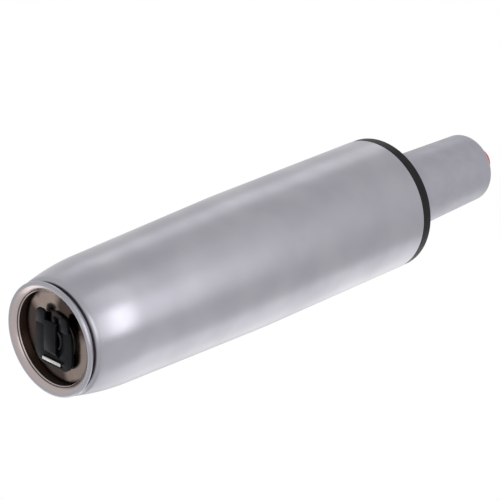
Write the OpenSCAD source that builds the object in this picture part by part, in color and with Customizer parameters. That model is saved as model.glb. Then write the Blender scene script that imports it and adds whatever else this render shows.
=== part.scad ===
// Chair gas lift cylinder, standing on its rolled bottom lip, fully lowered.
// The lift axis is +Z. The origin is on that axis, on the plane that the lip stands on.

/* [Column] */
// Outer diameter of the straight part of the column
column_od = 50; // [48:0.5:56]
// Length of the steel column, without the plastic flange on top of it
column_length = 165; // [150:1:220]
// Wall of the steel column
column_wall = 2; // [1.6:0.1:2.4]
// Length of the taper at the bottom of the column
taper_length = 90; // [60:1:100]
// Taper on the diameter, 1 in this many
taper_ratio = 20; // [16:1:40]
// Radius of the rolled bead round the bottom opening
bead_radius = 1.5; // [1.35:0.05:1.65]
// How far the bead is set in from the small end of the taper
bead_step = 1.9; // [1.7:0.05:2.1]
// How much the bead is flattened where the column stands on it
bead_flat = 0.1; // [0.05:0.05:0.15]
// How far the lip leans in from the middle of the bead
lip_reach = 2.75; // [2.5:0.05:2.9]
// Height of that lip's inner edge above the rim
lip_edge_height = 1.75; // [1.6:0.05:1.9]
// Rounding of that edge, half the lip's thickness
lip_edge_round = 0.3; // [0.25:0.05:0.35]
// How far the wall above the lip stands back from its edge
lip_undercut = 0.7; // [0.5:0.05:0.9]
// Depth of the groove between the bead and the body
groove_depth = 1.6; // [1.4:0.05:1.7]
// Width of that groove
groove_width = 1.2; // [1:0.05:1.4]
// Wall left between that groove and the seat of the base plate
groove_wall = 1; // [0.9:0.05:1.1]
// Radius of the body's lower corner, above the groove
corner_radius = 1.9; // [1.6:0.1:2.1]
// Radius of the curve that draws in the lower end of the body
end_curve_radius = 94; // [85:1:130]
// Height above the rim up to which that curve reaches
end_curve_top = 23; // [19:1:24]

/* [Base plate] */
// Height of the base plate above the lip's inner edge
plate_rise = 2.45; // [2.4:0.05:2.7]
// Thickness of the base plate
plate_thickness = 3; // [2.5:0.1:4]
// Depth of the pocket that centres the thrust bearing on the plate
plate_pocket = 0.5; // [0.3:0.1:1]
// Chamfer round the upper edge of the plate
plate_chamfer = 0.6; // [0.3:0.1:1]

/* [Guide bushing] */
// Length of the plastic guide inside the column
bushing_length = 58; // [40:1:64]
// Thickness of the flange that closes the column
flange_thickness = 3; // [2:0.1:4]
// How far the flange stays inside the column's outer diameter, on the radius
flange_set_in = 0.1; // [0.05:0.05:1]
// Rounding of the flange's outer edge
flange_round = 0.9; // [0.3:0.1:1]
// Wall of the inner sleeve that the gas cylinder slides in
sleeve_wall = 2.4; // [1.6:0.1:3]
// Wall of the outer shell that is pressed into the column
shell_wall = 1.8; // [1.2:0.1:2.4]
// Number of ribs between sleeve and shell
rib_count = 10; // [6:1:16]
// Thickness of a rib
rib_thickness = 1.6; // [1:0.1:2.4]
// Height of the wiping lip on top of the flange
wiper_height = 0.8; // [0.4:0.1:1.5]

/* [Thrust bearing] */
// Diameter of a ball
ball_d = 4; // [3:0.1:4.4]
// Number of balls
ball_count = 9; // [6:1:9]
// Diameter of the circle through the balls' centres
ball_pitch_d = 14.8; // [14.4:0.1:15.2]
// Outer diameter of the two bearing washers
race_od = 20.4; // [20.1:0.1:22]
// Thickness of a bearing washer
race_thickness = 1.5; // [1.2:0.1:2.5]
// Depth of the ball groove in a bearing washer
race_groove = 0.5; // [0.3:0.05:0.7]
// Thickness of the ball cage
cage_thickness = 1.8; // [1:0.1:1.9]
// Space between a ball and its pocket
pocket_gap = 0.1; // [0.05:0.01:0.2]

/* [Piston rod] */
// Diameter of the rod
rod_d = 10; // [9.6:0.1:11]
// Diameter of the rod's lower end, which passes through the bearing and the plate
rod_seat_d = 8.8; // [8.2:0.1:9]
// Diameter at the bottom of the clip groove
rod_groove_d = 7; // [6:0.1:7.6]
// Length of the rod below the clip groove
rod_tip = 0.5; // [0.4:0.05:0.8]
// Chamfer at the rod's lower end
rod_chamfer = 0.4; // [0.2:0.05:0.4]
// Diameter of the tenon that carries the piston
tenon_d = 7; // [6:0.1:8]

/* [Bumper] */
// Outer diameter of the rubber bumper
bumper_od = 22; // [19:0.1:26]
// Height of the rubber bumper
bumper_height = 6; // [4:0.1:12]
// Depth of the waist round the bumper
bumper_waist = 1.2; // [0.5:0.1:2]
// Outer diameter of the washer on the bumper
bumper_washer_od = 24; // [20:0.1:27]
// Thickness of that washer
bumper_washer_thickness = 1.2; // [0.8:0.1:2.5]

/* [Retaining clip] */
// Thickness of the spring steel
clip_thickness = 1; // [0.8:0.05:1.1]
// Width across the clip
clip_width = 18; // [16:0.1:20]
// From the rod's axis to the closed end of the clip
clip_back = 10.8; // [10.4:0.1:12]
// From the rod's axis to the ends of the prongs
clip_front = 10; // [9:0.1:12]
// Width of the raised tongue
tongue_width = 6.4; // [5:0.1:6.8]
// Space between the tongue and the rod's end
tongue_gap = 0.25; // [0.1:0.05:0.3]
// How far the prong ends are cranked down
prong_crank = 0.7; // [0.3:0.05:0.8]
// Width of the upturned tab
tab_width = 8.6; // [6:0.1:9]
// Direction of the clip's closed end about the lift axis, in degrees
clip_turn = 34; // [0:1:360]
// Outer diameter of the washer under the base plate
clip_washer_od = 18.4; // [15:0.1:24]
// Thickness of that washer
clip_washer_thickness = 1; // [0.8:0.05:1.1]

/* [Gas cylinder] */
// Outer diameter of the straight part of the gas cylinder
tube_od = 28; // [27.6:0.1:30]
// Wall of the gas cylinder
tube_wall = 2.2; // [2:0.1:2.4]
// Length of the gas cylinder above the flange when lowered
exposed_length = 51; // [44:1:80]
// Length of the taper at its upper end
seat_taper_length = 34; // [24:1:40]
// Taper on the diameter of that end, 1 in this many
seat_taper_ratio = 20; // [18:1:40]
// Travel of the gas cylinder
stroke = 80; // [40:1:84]
// Thickness of the rolled-in ends of the gas cylinder
end_lip = 2.2; // [1.6:0.1:3]
// Rounding of the gas cylinder's ends
end_round = 1.5; // [0.8:0.1:1.6]
// Diameter of the opening in the lower end
lower_opening_d = 17; // [13:0.1:20]
// Diameter of the opening in the upper end
upper_opening_d = 17; // [14:0.1:20]
// Length of the rod guide
guide_length = 14; // [8:0.5:18]
// Height of the rod seal
seal_height = 5; // [3:0.5:7]
// Thickness of the washer on the rod seal
seal_washer_thickness = 1.5; // [1:0.1:2.5]
// Height of the ring that centres the inner tube
centring_height = 6; // [5:0.5:8]
// Depth of its seat for the inner tube
centring_seat = 3; // [2:0.5:4]
// Number of gas slots in the centring ring
slot_count = 6; // [3:1:8]
// Outer diameter of the inner tube
inner_od = 20.8; // [20:0.1:21.4]
// Wall of the inner tube
inner_wall = 1; // [0.8:0.1:1.4]
// Wall of the spacer that ends the stroke
spacer_wall = 1.6; // [1:0.1:2.5]

/* [Piston] */
// Length of the piston
piston_length = 12; // [9:0.5:16]
// Height of the piston's sealing ring
piston_ring_height = 3; // [2:0.1:4]
// Depth of the groove for that ring
piston_groove = 1.6; // [1:0.1:2]
// Thickness of the washer over the piston
piston_washer_thickness = 1.2; // [0.8:0.1:2.5]
// Outer diameter of that washer
piston_washer_od = 15; // [13:0.1:17]
// Height of the piston nut
nut_height = 5; // [4:0.1:7]
// Width across the flats of the nut
nut_flats = 12; // [10:0.1:14]
// Thread standing out of the nut
thread_end = 1; // [0.5:0.1:2]

/* [Valve and button] */
// Length of the valve body
valve_length = 44; // [42:1:50]
// Length of its spigot in the inner tube
spigot_length = 9; // [8:0.5:10]
// Height of the lower O-ring above the valve body's shoulder
lower_ring = 9; // [8:0.5:12]
// Thickness of the O-rings
o_ring_d = 2; // [1.6:0.1:2.2]
// Diameter of the release pin
pin_d = 4; // [3:0.1:4.6]
// Diameter of the sealing head at the pin's lower end
pin_head_d = 7; // [6:0.1:8]
// Thickness of that head
pin_head = 3; // [2:0.1:3.4]
// Travel of the release button
button_travel = 3.5; // [2:0.1:4]
// Diameter of the release button
button_d = 9.8; // [8:0.1:11]
// Height of the button above the end of the gas cylinder
button_proud = 7; // [5:0.1:12]
// Length of the button
button_length = 12.5; // [11:0.5:14]
// Thickness of the button over the end of the pin
button_cap = 3; // [2:0.1:4]
// Rounding of the button's top
button_round = 1.2; // [0.5:0.1:2]
// Outer diameter of the pin's seal and of the bush that holds it
pin_seal_od = 8.4; // [7.6:0.1:9]
// Height of the pin's seal
pin_seal_height = 3; // [2:0.1:4]
// Height of the bush over that seal
pin_bush_height = 4; // [2:0.1:4]

/* [Fits] */
// Radial clearance of parts that slide or turn in each other
running_gap = 0.05; // [0.02:0.01:0.08]
// Radial clearance of parts that are seated in each other
seat_gap = 0.03; // [0.02:0.01:0.05]
// Radial clearance of loose washers and sleeves on the rod
loose_gap = 0.3; // [0.2:0.05:0.3]
// Clearance between parts that meet only at the end of a travel
stop_gap = 0.3; // [0.1:0.05:0.4]
// Axial play of the clip in its groove, on each side
clip_play = 0.05; // [0.02:0.01:0.1]

/* [Hidden] */
$fn = 96;
// Cutters run this far past what they cut
past = 1;

// Column, from the bead up
small_end_r = column_od / 2 - taper_length / (2 * taper_ratio);
bead_outer_r = small_end_r - bead_step;
bead_centre_r = bead_outer_r - bead_radius;
bead_centre_z = bead_radius - bead_flat;
bead_top = bead_centre_z + bead_radius;
lip_edge_r = bead_centre_r - lip_reach;
plate_z = lip_edge_height + plate_rise;
neck_r = bead_outer_r - groove_depth;
seat_r = neck_r - groove_wall;
shoulder_z = bead_top + groove_width;
corner_z = shoulder_z + corner_radius;
column_bore_r = column_od / 2 - column_wall;
column_top = column_length;
flange_top = column_top + flange_thickness;

// Base plate and what hangs below it
plate_top = plate_z + plate_thickness;
seat_top = plate_top + 1;
rod_seat_r = rod_seat_d / 2;
rod_r = rod_d / 2;
washer_top = plate_z - clip_play;
washer_z = washer_top - clip_washer_thickness;
clip_top = washer_z - clip_play;
clip_z = clip_top - clip_thickness;
groove_z = clip_z - clip_play;
groove_height = clip_thickness + 2 * clip_play;
rod_z = groove_z - rod_tip;
tongue_top = rod_z - tongue_gap;
tongue_thickness = min(clip_thickness, tongue_top - 0.4);
tongue_z = tongue_top - tongue_thickness;
slot_r = rod_groove_d / 2 + running_gap;

// Thrust bearing
race_r = race_od / 2;
ball_r = ball_d / 2;
pitch_r = ball_pitch_d / 2;
race_bore_r = rod_seat_r + seat_gap + 0.07;
lower_race_z = plate_top - plate_pocket;
// Balls touch the grooves with this much room
ball_play = 0.01;
ball_z = lower_race_z + race_thickness - race_groove + ball_play + ball_r;
upper_race_z = ball_z + ball_r + ball_play - race_groove;
rod_shoulder_z = upper_race_z + race_thickness;
groove_r = ball_r + ball_play;
cage_in_r = pitch_r - ball_r - 0.6;
cage_out_r = pitch_r + ball_r + 0.6;

// Bumper, and the gas cylinder's lower end on it
bumper_z = rod_shoulder_z;
bumper_washer_z = bumper_z + bumper_height;
tube_z = bumper_washer_z + bumper_washer_thickness + stop_gap;
tube_top = flange_top + exposed_length;
tube_r = tube_od / 2;
tube_bore_r = tube_r - tube_wall;
tube_end_r = tube_r - seat_taper_length / (2 * seat_taper_ratio);
fill_r = tube_bore_r - seat_gap;

// Stack in the gas cylinder, from below
guide_z = tube_z + end_lip;
seal_z = guide_z + guide_length;
seal_washer_z = seal_z + seal_height;
centring_z = seal_washer_z + seal_washer_thickness;
centring_top = centring_z + centring_height;
inner_z = centring_top - centring_seat;
inner_r = inner_od / 2;
inner_bore_r = inner_r - inner_wall;
sleeve_bore_r = rod_r + loose_gap;

// Valve, from above
valve_top = tube_top - end_lip;
valve_z = valve_top - valve_length;
valve_shoulder_z = valve_z + spigot_length;
spigot_r = inner_bore_r - seat_gap;

// Piston, below the valve
nut_z = valve_z - stop_gap - 2.2 - thread_end - nut_height;
piston_washer_z = nut_z - piston_washer_thickness;
piston_z = piston_washer_z - piston_length;
tenon_r = tenon_d / 2;
rod_top = nut_z + nut_height + thread_end;
spacer_top = piston_z - stroke - stop_gap;
piston_r = inner_bore_r - 2 * running_gap;
piston_ring_r = inner_bore_r - running_gap / 2;
piston_groove_r = piston_r - piston_groove;
piston_groove_z = piston_z + piston_length / 2 - piston_ring_height / 2;

// Pin and button
pin_r = pin_d / 2;
pin_bore_r = pin_r + running_gap;
pin_head_r = pin_head_d / 2;
chamber_r = pin_head_r + 1;
chamber_top = valve_z + button_travel + pin_head + 1;
pin_z = chamber_top - pin_head;
button_r = button_d / 2;
button_z = tube_top + button_proud - button_length;
button_well_r = button_r + 0.7;
button_well_z = button_z - button_travel - stop_gap;
pin_top = tube_top + button_proud - button_cap;
pin_seal_r = pin_seal_od / 2;
pin_seal_z = button_well_z - pin_bush_height - pin_seal_height;
pin_bush_z = pin_seal_z + pin_seal_height;
o_ring_r = o_ring_d / 2;
// An O-ring fills this share of its groove's height
o_ring_fill = 0.87;
o_ring_groove = o_ring_d / o_ring_fill;
body_ring_z = [valve_shoulder_z + lower_ring, pin_seal_z + pin_seal_height / 3];
spigot_ring_z = valve_z + spigot_length / 2;

// Points on an arc round (cx, cy), from angle a to angle b
function arc(cx, cy, r, a, b, n = 6) =
    [for (i = [0:n]) let (t = a + (b - a) * i / n) [cx + r * cos(t), cy + r * sin(t)]];

// Outer radius of the straight taper at height z
function taper_r(z) = column_od / 2 - max(0, taper_length - z) / (2 * taper_ratio);

// Centre of the curve that draws in the column's lower end, tangent to the taper
taper_angle = atan(1 / (2 * taper_ratio));
end_curve_r = taper_r(end_curve_top) - end_curve_radius * cos(taper_angle);
end_curve_z = end_curve_top + end_curve_radius * sin(taper_angle);

// Outer radius of the column at height z on that curve
function curve_r(z) = end_curve_r + sqrt(pow(end_curve_radius, 2) - pow(z - end_curve_z, 2));

// Centre of the lower corner, which touches that curve from inside, and the height where they meet
corner_reach = end_curve_radius - corner_radius;
corner_r = end_curve_r + sqrt(pow(corner_reach, 2) - pow(corner_z - end_curve_z, 2));
corner_meet_z = corner_z - corner_radius * (end_curve_z - corner_z) / corner_reach;

// A plain ring
module ring(r_out, r_in, z, h) {
    translate([0, 0, z]) difference() {
        cylinder(r = r_out, h = h);
        translate([0, 0, -past]) cylinder(r = r_in, h = h + 2 * past);
    }
}

// A flat washer whose outer edges are broken
module washer(r_out, r_in, z, h, edge = 0.2) {
    rotate_extrude() polygon([
        [r_in, z], [r_out - edge, z], [r_out, z + edge],
        [r_out, z + h - edge], [r_out - edge, z + h], [r_in, z + h]]);
}

// Half section of the column
module column_section() {
    inside_r = lip_edge_r + lip_undercut;
    difference() {
        union() {
            polygon([
                [inside_r, end_curve_top], [taper_r(end_curve_top), end_curve_top],
                [column_od / 2, taper_length], [column_od / 2, column_top], [inside_r, column_top]]);
            intersection() {
                translate([end_curve_r, end_curve_z]) circle(r = end_curve_radius, $fn = 360);
                translate([inside_r, corner_meet_z])
                    square([column_od, end_curve_top - corner_meet_z]);
            }
            intersection() {
                translate([corner_r, corner_z]) circle(r = corner_radius);
                translate([corner_r, shoulder_z]) square(corner_radius);
            }
            translate([inside_r, shoulder_z]) square([corner_r - inside_r, corner_radius]);
            translate([inside_r, bead_centre_z])
                square([neck_r - inside_r, shoulder_z - bead_centre_z]);
            intersection() {
                hull() {
                    translate([bead_centre_r, bead_centre_z]) circle(r = bead_radius);
                    translate([lip_edge_r + lip_edge_round, lip_edge_height + lip_edge_round])
                        circle(r = lip_edge_round);
                }
                square([column_od, bead_top]);
            }
        }
        polygon([
            [0, plate_z], [seat_r, plate_z], [seat_r, seat_top],
            [curve_r(seat_top + column_wall) - column_wall, seat_top + column_wall],
            [taper_r(end_curve_top) - column_wall, end_curve_top],
            [column_bore_r, taper_length], [column_bore_r, column_top + past], [0, column_top + past]]);
    }
}

module column_tube() {
    color("#b9bac2") rotate_extrude() column_section();
}

module base_plate() {
    plate_r = seat_r - seat_gap;
    color("#8d6f5a") difference() {
        rotate_extrude() polygon([
            [0, plate_z], [plate_r, plate_z], [plate_r, plate_top - plate_chamfer],
            [plate_r - plate_chamfer, plate_top], [0, plate_top]]);
        translate([0, 0, plate_z - past])
            cylinder(r = rod_seat_r + loose_gap, h = plate_thickness + 2 * past);
        translate([0, 0, lower_race_z]) cylinder(r = race_r + seat_gap, h = plate_pocket + past);
    }
}

// Half section of a bearing washer whose groove is open to the side given
module race_section(z, groove_z_centre) {
    difference() {
        translate([race_bore_r, z]) square([race_r - race_bore_r, race_thickness]);
        translate([pitch_r, groove_z_centre]) circle(r = groove_r);
    }
}

module lower_race() {
    color("#9fa3a8") rotate_extrude() race_section(lower_race_z, ball_z);
}

module upper_race() {
    color("#9fa3a8") rotate_extrude() race_section(upper_race_z, ball_z);
}

module ball_ring() {
    for (i = [0:ball_count - 1])
        rotate([0, 0, i * 360 / ball_count]) translate([pitch_r, 0, ball_z]) children();
}

module ball_cage() {
    color("#e8e4d6") difference() {
        ring(cage_out_r, cage_in_r, ball_z - cage_thickness / 2, cage_thickness);
        ball_ring() translate([0, 0, -cage_thickness])
            cylinder(r = ball_r + pocket_gap, h = 2 * cage_thickness);
    }
}

module bearing_balls() {
    color("#c9ccd0") ball_ring() sphere(r = ball_r);
}

// Cross section of the guide below its flange
module bushing_profile() {
    sleeve_r = tube_r + running_gap + sleeve_wall;
    shell_r = column_bore_r - seat_gap;
    difference() {
        circle(r = shell_r);
        circle(r = shell_r - shell_wall);
    }
    difference() {
        union() {
            circle(r = sleeve_r);
            for (i = [0:rib_count - 1])
                rotate(i * 360 / rib_count) translate([0, -rib_thickness / 2])
                    square([shell_r - shell_wall / 2, rib_thickness]);
        }
        circle(r = tube_r + running_gap);
    }
}

module guide_bushing() {
    flange_r = column_od / 2 - flange_set_in;
    bore_r = tube_r + running_gap;
    lip_r = bore_r + sleeve_wall;
    color("#17171a") {
        translate([0, 0, column_top - bushing_length]) linear_extrude(bushing_length) bushing_profile();
        rotate_extrude() polygon(concat(
            [[bore_r, column_top], [flange_r, column_top]],
            arc(flange_r - flange_round, flange_top - flange_round, flange_round, 0, 90),
            [[lip_r, flange_top], [bore_r + wiper_height, flange_top + wiper_height],
             [bore_r, flange_top + wiper_height]]));
    }
}

module piston_rod() {
    color("#d2d4d8") difference() {
        rotate_extrude() polygon([
            [0, rod_z], [rod_seat_r - rod_chamfer, rod_z], [rod_seat_r, rod_z + rod_chamfer],
            [rod_seat_r, rod_shoulder_z], [rod_r, rod_shoulder_z], [rod_r, piston_z],
            [tenon_r, piston_z], [tenon_r, rod_top - 0.5], [tenon_r - 0.5, rod_top], [0, rod_top]]);
        ring(rod_seat_r + past, rod_groove_d / 2, groove_z, groove_height);
    }
}

module rubber_bumper() {
    bumper_r = bumper_od / 2;
    waist_z = bumper_z + bumper_height / 2;
    // The waist is a round groove that is half as deep again as it is proud
    waist_r = bumper_height / 3;
    color("#222222") rotate_extrude() difference() {
        translate([sleeve_bore_r, bumper_z]) square([bumper_r - sleeve_bore_r, bumper_height]);
        translate([bumper_r + waist_r - bumper_waist, waist_z]) circle(r = waist_r);
    }
}

module bumper_washer() {
    color("#a7abb0")
        washer(bumper_washer_od / 2, sleeve_bore_r, bumper_washer_z, bumper_washer_thickness);
}

module clip_washer() {
    color("#6f6a66")
        washer(clip_washer_od / 2, rod_seat_r + loose_gap, washer_z, clip_washer_thickness);
}

// Outline of the clip seen along the lift axis, with its closed end towards +X
module clip_outline() {
    half = clip_width / 2;
    corner = half * 0.55;
    prong = (half - slot_r) / 2;
    difference() {
        union() {
            translate([-clip_front + prong, -half])
                square([clip_front - prong + clip_back - corner, clip_width]);
            translate([-past, -half + corner]) square([clip_back + past, clip_width - 2 * corner]);
            for (side = [-1, 1]) {
                translate([clip_back - corner, side * (half - corner)]) circle(r = corner);
                translate([-clip_front + prong, side * (half - prong)]) circle(r = prong);
            }
        }
        circle(r = slot_r);
        translate([-clip_front - past, -slot_r]) square([clip_front + past, 2 * slot_r]);
    }
}

// A strip bent along points in the XZ plane, of the given width
module strip(points, width) {
    rotate([90, 0, 0]) translate([0, 0, -width / 2]) linear_extrude(width) polygon(points);
}

module retaining_clip() {
    t = clip_thickness;
    // Where the prong ends are cranked
    crank_x = -slot_r - 0.6;
    // Inner face of the tab, and how far its tip leans out
    tab_x = 7.3;
    tab_lean = 0.7;
    tab_z = tongue_z + 0.1;
    // The window that the tab was cut from
    window = [tab_x + 0.9, clip_back - 1.2];
    // The tongue's root, and where it is level
    root_x = 6.6;
    level_x = 4.4;
    hook_x = -rod_seat_r - 1;
    color("#141416") rotate([0, 0, clip_turn]) {
        difference() {
            translate([0, 0, clip_z]) linear_extrude(t) clip_outline();
            translate([window[0], -tab_width / 2, clip_z - past])
                cube([window[1] - window[0], tab_width, t + 2 * past]);
            translate([-clip_front - past, -clip_width, clip_top - prong_crank])
                cube([clip_front + past + crank_x - 0.5, 2 * clip_width, prong_crank + past]);
        }
        intersection() {
            translate([0, 0, clip_z - prong_crank]) linear_extrude(t) clip_outline();
            translate([-clip_front - past, -clip_width, clip_z - prong_crank - past])
                cube([clip_front + past + crank_x, 2 * clip_width, t + 2 * past]);
        }
        strip([[root_x, clip_z], [level_x, tongue_z], [hook_x, tongue_z],
            [hook_x - 1, tongue_z + 0.5], [hook_x - 1, tongue_top + 0.5], [hook_x, tongue_top],
            [level_x, tongue_top], [root_x, clip_z + t / 2]], tongue_width);
        strip([[tab_x, clip_z + t / 2], [tab_x, clip_z], [tab_x + tab_lean, tab_z],
            [tab_x + tab_lean + 0.9, tab_z], [tab_x + 0.9, clip_z], [tab_x + 0.9, clip_z + t / 2]],
            tab_width);
    }
}

module piston() {
    color("#bfc2c6") difference() {
        washer(piston_r, tenon_r + seat_gap, piston_z, piston_length, 0.5);
        ring(piston_r + past, piston_groove_r, piston_groove_z, piston_ring_height);
    }
}

module piston_ring() {
    color("#2a2a2c") ring(piston_ring_r, piston_groove_r + seat_gap,
        piston_groove_z + seat_gap, piston_ring_height - 2 * seat_gap);
}

module piston_washer() {
    color("#a7abb0")
        washer(piston_washer_od / 2, tenon_r + seat_gap, piston_washer_z, piston_washer_thickness);
}

module piston_nut() {
    corner_r = nut_flats / 2 / cos(30);
    color("#9a9ea3") difference() {
        intersection() {
            translate([0, 0, nut_z]) cylinder(r = corner_r, h = nut_height, $fn = 6);
            rotate_extrude() polygon([
                [0, nut_z], [corner_r, nut_z], [corner_r, nut_z + nut_height - 0.6],
                [nut_flats / 2 - 0.2, nut_z + nut_height], [0, nut_z + nut_height]]);
        }
        translate([0, 0, nut_z - past]) cylinder(r = tenon_r + seat_gap, h = nut_height + 2 * past);
    }
}

module pressure_tube() {
    taper_z = tube_top - seat_taper_length;
    color("#9a9aa4") rotate_extrude() polygon(concat(
        [[lower_opening_d / 2, tube_z]],
        arc(tube_r - end_round, tube_z + end_round, end_round, -90, 0),
        [[tube_r, taper_z]],
        arc(tube_end_r - end_round, tube_top - end_round, end_round, 0, 90),
        [[upper_opening_d / 2, tube_top], [upper_opening_d / 2, valve_top],
         [tube_bore_r, valve_top], [tube_bore_r, guide_z], [lower_opening_d / 2, guide_z]]));
}

module rod_guide() {
    spigot = min(1.5, guide_length / 4);
    color("#3a3f44") rotate_extrude() polygon([
        [rod_r + running_gap, guide_z], [lower_opening_d / 2 + 1, guide_z], [fill_r, guide_z + 0.8],
        [fill_r, seal_z - spigot], [fill_r - 0.8, seal_z - spigot], [fill_r - 0.8, seal_z],
        [rod_r + running_gap, seal_z]]);
}

module rod_seal() {
    lip = seal_height / 3;
    color("#1c1c1e") rotate_extrude() polygon([
        [rod_r + running_gap, seal_z], [fill_r, seal_z], [fill_r, seal_washer_z],
        [fill_r - 1.4, seal_washer_z], [fill_r - 1.9, seal_washer_z - lip],
        [rod_r + 1.7, seal_washer_z - lip], [rod_r + 1.2, seal_washer_z],
        [rod_r + running_gap, seal_washer_z]]);
}

module seal_washer() {
    color("#a7abb0") washer(fill_r, sleeve_bore_r, seal_washer_z, seal_washer_thickness);
}

module centring_ring() {
    slot = 2.4;
    color("#dcd9cf") difference() {
        ring(fill_r, sleeve_bore_r, centring_z, centring_height);
        translate([0, 0, inner_z]) cylinder(r = inner_r + seat_gap, h = centring_seat + past);
        for (i = [0:slot_count - 1])
            rotate([0, 0, i * 360 / slot_count])
                translate([inner_bore_r - 1.5, -slot / 2, inner_z - 1.5])
                    cube([fill_r, slot, centring_height]);
    }
}

module inner_tube() {
    color("#c4c6ca") ring(inner_r, inner_bore_r, inner_z, valve_shoulder_z - inner_z);
}

module stroke_spacer() {
    color("#dcd9cf")
        ring(sleeve_bore_r + spacer_wall, sleeve_bore_r, inner_z, spacer_top - inner_z);
}

// Cuts a round groove that leaves radius r, for an O-ring centred at height z
module o_ring_cut(r_out, z) {
    ring(r_out + past, r_out - o_ring_d, z - o_ring_groove / 2, o_ring_groove);
}

module o_ring(r_out, z) {
    rotate_extrude() translate([r_out - o_ring_r, z]) circle(r = o_ring_r - seat_gap / 2, $fn = 32);
}

module valve_body() {
    // The port ends in the space between the inner tube and the gas cylinder
    port_r = 1.2;
    port_z = valve_shoulder_z + 2;
    collar = 4;
    color("#c8a552") difference() {
        rotate_extrude() polygon([
            [0, valve_z], [spigot_r - 0.6, valve_z], [spigot_r, valve_z + 0.6],
            [spigot_r, valve_shoulder_z], [inner_r, valve_shoulder_z], [inner_r, valve_shoulder_z + collar],
            [fill_r, valve_shoulder_z + collar + 1.5], [fill_r, valve_top], [0, valve_top]]);
        translate([0, 0, valve_z - past]) cylinder(r = pin_bore_r, h = valve_length);
        translate([0, 0, valve_z - past]) cylinder(r = chamber_r, h = chamber_top - valve_z + past);
        translate([0, 0, pin_seal_z])
            cylinder(r = pin_seal_r + seat_gap, h = pin_seal_height + pin_bush_height + past);
        translate([0, 0, button_well_z]) cylinder(r = button_well_r, h = valve_length);
        o_ring_cut(spigot_r, spigot_ring_z);
        for (z = body_ring_z)
            o_ring_cut(fill_r, z);
        translate([0, 0, chamber_top - past / 2])
            cylinder(r = pin_r + 1, h = port_z + port_r + past - chamber_top);
        translate([0, 0, port_z]) rotate([0, 90, 0]) cylinder(r = port_r, h = tube_od, center = true);
    }
}

module spigot_o_ring() {
    color("#1c1c1e") o_ring(inner_bore_r, spigot_ring_z);
}

module body_o_rings() {
    color("#1c1c1e") for (z = body_ring_z)
        o_ring(tube_bore_r, z);
}

module pin_seal() {
    color("#1c1c1e") ring(pin_seal_r, pin_bore_r, pin_seal_z, pin_seal_height);
}

module pin_seal_bush() {
    color("#dcd9cf") ring(pin_seal_r, pin_bore_r, pin_bush_z, pin_bush_height);
}

module release_pin() {
    color("#c9ccd0") rotate_extrude() polygon([
        [0, pin_z], [pin_head_r - 0.4, pin_z], [pin_head_r, pin_z + 0.4], [pin_head_r, chamber_top - 0.8],
        [pin_r, chamber_top - stop_gap / 3], [pin_r, pin_top], [0, pin_top]]);
}

module release_button() {
    button_top = tube_top + button_proud;
    color("#c4232b") rotate_extrude() polygon(concat(
        [[pin_r + seat_gap, button_z], [button_r - 0.4, button_z], [button_r, button_z + 0.4]],
        arc(button_r - button_round, button_top - button_round, button_round, 0, 90),
        [[0, button_top], [0, pin_top], [pin_r + seat_gap, pin_top]]));
}

column_tube();
base_plate();
lower_race();
guide_bushing();
ball_cage();
bearing_balls();
piston_rod();
upper_race();
rubber_bumper();
bumper_washer();
clip_washer();
retaining_clip();
piston();
piston_ring();
piston_washer();
piston_nut();
pressure_tube();
rod_guide();
rod_seal();
seal_washer();
centring_ring();
inner_tube();
stroke_spacer();
valve_body();
spigot_o_ring();
body_o_rings();
pin_seal();
pin_seal_bush();
release_pin();
release_button();
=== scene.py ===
"""Looks of a chair gas lift cylinder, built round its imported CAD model.

The lift stands on its rolled lower lip. Sizes are in millimetres unless the text beside them says
otherwise, and meshes are made in metres. Each sub-assembly is a class that builds its pieces and
dresses the CAD nodes that it keeps.
"""
import logging
import math
from dataclasses import dataclass, field
from enum import Enum
from typing import Callable, Optional, Sequence

import bmesh
import bpy
from mathutils import Matrix, Vector


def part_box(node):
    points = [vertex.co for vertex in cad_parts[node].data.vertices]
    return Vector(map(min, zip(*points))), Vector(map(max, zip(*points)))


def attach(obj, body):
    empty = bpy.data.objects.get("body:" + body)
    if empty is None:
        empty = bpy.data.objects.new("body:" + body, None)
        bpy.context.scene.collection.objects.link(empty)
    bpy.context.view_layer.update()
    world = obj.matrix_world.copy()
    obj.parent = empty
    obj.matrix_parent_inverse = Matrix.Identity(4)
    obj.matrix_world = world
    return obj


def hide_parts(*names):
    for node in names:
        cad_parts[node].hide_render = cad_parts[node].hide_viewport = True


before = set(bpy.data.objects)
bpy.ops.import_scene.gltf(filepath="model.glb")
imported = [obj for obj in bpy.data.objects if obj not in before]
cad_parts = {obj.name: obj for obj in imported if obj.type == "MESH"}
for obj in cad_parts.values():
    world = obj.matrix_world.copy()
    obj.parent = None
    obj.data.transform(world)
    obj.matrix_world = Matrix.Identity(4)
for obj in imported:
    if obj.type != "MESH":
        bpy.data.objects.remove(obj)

LOG = logging.getLogger("gas_lift")
IMAGE_SIDE = 500
MM = 0.001
TURN = 2 * math.pi
Point = tuple[float, float]
Outline = list[Point]
Colour = tuple[float, float, float]
Mesh = bmesh.types.BMesh
Node = bpy.types.Node
Socket = bpy.types.NodeSocket

# Limits in metres and degrees for finishing a mesh
DOUBLES = 1e-7
SLIVERS = 1e-8
NODE_FOOT = 0.0006
CREASE = 32.0
BEVELLED_FROM = 30.0

# Layout of nodes, and the range that a noise value mostly keeps to
NODES_IN_ROW = 12
NODE_SPACING = (200, 320)
NOISE_RANGE = (0.3, 0.7)

# Edge wear: the dot product of the two normals where it starts and is full, then the noise values
# where it is broken up and whole, and its share where it is broken up
WEAR_DOTS = (0.995, 0.86)
WEAR_PATCHES = (0.35, 0.62, 0.25)

# Grain: the share of its slow patches in its height, and the noise values that they drift between
SLOW_SHARE = 0.35
DRIFT_RANGE = (0.25, 0.75)


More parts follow.
